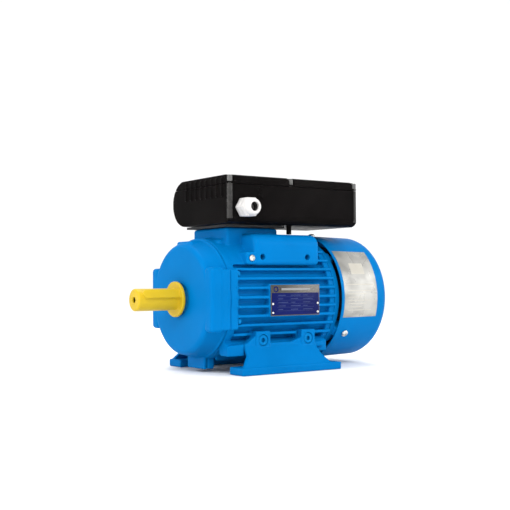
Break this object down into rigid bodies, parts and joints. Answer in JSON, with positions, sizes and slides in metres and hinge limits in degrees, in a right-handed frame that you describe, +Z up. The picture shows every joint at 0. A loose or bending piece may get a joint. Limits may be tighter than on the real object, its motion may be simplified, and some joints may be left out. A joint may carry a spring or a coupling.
{
  "type": "electric motor",
  "caption": "Foot-mounted single-phase capacitor motor with a finned housing, keyed shaft under a transport sleeve, fan cowl and top terminal box with a cable gland.",
  "frame": {"origin": "on the ground, under the middle of the motor's length and in the shaft's vertical plane", "axes": "+X along the shaft from the drive end to the fan end, +Y to the left-hand side seen from the drive end looking at the fan, +Z up"},
  "size_m": [0.339, 0.179, 0.24],
  "materials": {
    "body_blue": "semi-gloss enamel on cast aluminium",
    "cowl_blue": "gloss enamel on pressed sheet steel",
    "bearing_steel": "ground and polished",
    "shaft_steel": "turned and ground, lightly oiled",
    "zinc": "bright zinc plate",
    "lamination": "stacked punched sheet with a blued edge",
    "copper": "varnished enamelled copper wire",
    "cage_aluminium": "as cast",
    "box_black": "moulded, satin with a fine grain",
    "rubber": "matt",
    "capacitor": "plain moulded can",
    "fan_nylon": "moulded nylon",
    "sleeve_yellow": "moulded polyethylene, slightly waxy",
    "gland_white": "moulded nylon",
    "plate_foil": "printed foil with a bare metal border",
    "board_brown": "pressed phenolic board",
    "governor_plastic": "moulded, satin"
  },
  "bodies": {
    "housing": {"box_gasket": "rubber", "cover_screw_1": "zinc", "cover_screw_2": "zinc", "cover_screw_3": "zinc", "cover_screw_4": "zinc", "cover_screw_5": "zinc", "cover_screw_6": "zinc", "cowl_screw_1": "zinc", "cowl_screw_2": "zinc", "cowl_screw_3": "zinc", "drive_bearing_outer": "bearing_steel", "drive_end_seal": "rubber", "drive_end_shield": "body_blue", "drive_shield_screw_1": "body_blue", "drive_shield_screw_2": "body_blue", "drive_shield_screw_3": "body_blue", "drive_shield_screw_4": "body_blue", "earth_screw": "zinc", "fan_cowl": "cowl_blue", "foot_bolt_1": "body_blue", "foot_bolt_2": "body_blue", "foot_bolt_3": "body_blue", "foot_bolt_4": "body_blue", "foot_left": "body_blue", "foot_right": "body_blue", "frame": "body_blue", "gland_body": "gland_white", "gland_nut": "gland_white", "gland_seal": "rubber", "nameplate": "plate_foil", "rear_bearing_outer": "bearing_steel", "rear_end_shield": "body_blue", "rear_shield_screw_1": "body_blue", "rear_shield_screw_2": "body_blue", "rear_shield_screw_3": "body_blue", "rear_shield_screw_4": "body_blue", "run_capacitor": "capacitor", "start_capacitor": "capacitor", "stator_core": "lamination", "stator_winding": "copper", "switch_board": "board_brown", "terminal_board": "board_brown", "terminal_box_base": "box_black", "terminal_box_cover": "box_black"},
    "rotor": {"shaft": "shaft_steel", "shaft_key": "shaft_steel", "rotor_core": "lamination", "rotor_cage": "cage_aluminium", "drive_bearing_inner": "bearing_steel", "rear_bearing_inner": "bearing_steel", "fan": "fan_nylon", "governor_hub": "zinc"},
    "drive_balls": {"drive_bearing_balls": "bearing_steel"},
    "rear_balls": {"rear_bearing_balls": "bearing_steel"},
    "sleeve": {"shaft_sleeve": "sleeve_yellow"},
    "collar": {"governor_collar": "governor_plastic"},
    "weight_1": {"governor_weight_1": "zinc"},
    "weight_2": {"governor_weight_2": "zinc"},
    "switch_lever": {"switch_arm": "copper"}
  },
  "joints": [
    {"name": "rotor_spin", "type": "hinge", "parent": "housing", "child": "rotor", "pos_m": [0, 0, 0.09], "axis": [1, 0, 0], "continuous": true},
    {"name": "drive_bearing_roll", "type": "hinge", "parent": "housing", "child": "drive_balls", "pos_m": [0, 0, 0.09], "axis": [1, 0, 0], "continuous": true},
    {"name": "rear_bearing_roll", "type": "hinge", "parent": "housing", "child": "rear_balls", "pos_m": [0, 0, 0.09], "axis": [1, 0, 0], "continuous": true},
    {"name": "sleeve_pull", "type": "slide", "parent": "rotor", "child": "sleeve", "axis": [-1, 0, 0], "range_m": [0, 0.062]},
    {"name": "governor_slide", "type": "slide", "parent": "rotor", "child": "collar", "axis": [-1, 0, 0], "range_m": [0, 0.004], "stiffness_N_per_m": 300},
    {"name": "weight_1_swing", "type": "hinge", "parent": "rotor", "child": "weight_1", "pos_m": [0.0625, 0, 0.113], "axis": [0, -1, 0], "range_deg": [0, 20]},
    {"name": "weight_2_swing", "type": "hinge", "parent": "rotor", "child": "weight_2", "pos_m": [0.0625, 0, 0.067], "axis": [0, 1, 0], "range_deg": [0, 20]},
    {"name": "switch_swing", "type": "hinge", "parent": "housing", "child": "switch_lever", "pos_m": [0.0776, 0, 0.14], "axis": [0, 1, 0], "range_deg": [0, 7.7]}
  ],
  "couplings": [
    {"joint": "drive_bearing_roll", "follows": "rotor_spin", "ratio": 0.397},
    {"joint": "rear_bearing_roll", "follows": "rotor_spin", "ratio": 0.397},
    {"joint": "weight_1_swing", "follows": "governor_slide", "rad_per_m": 87.2},
    {"joint": "weight_2_swing", "follows": "governor_slide", "rad_per_m": 87.2},
    {"joint": "switch_swing", "follows": "governor_slide", "rad_per_m": 33.3}
  ]
}
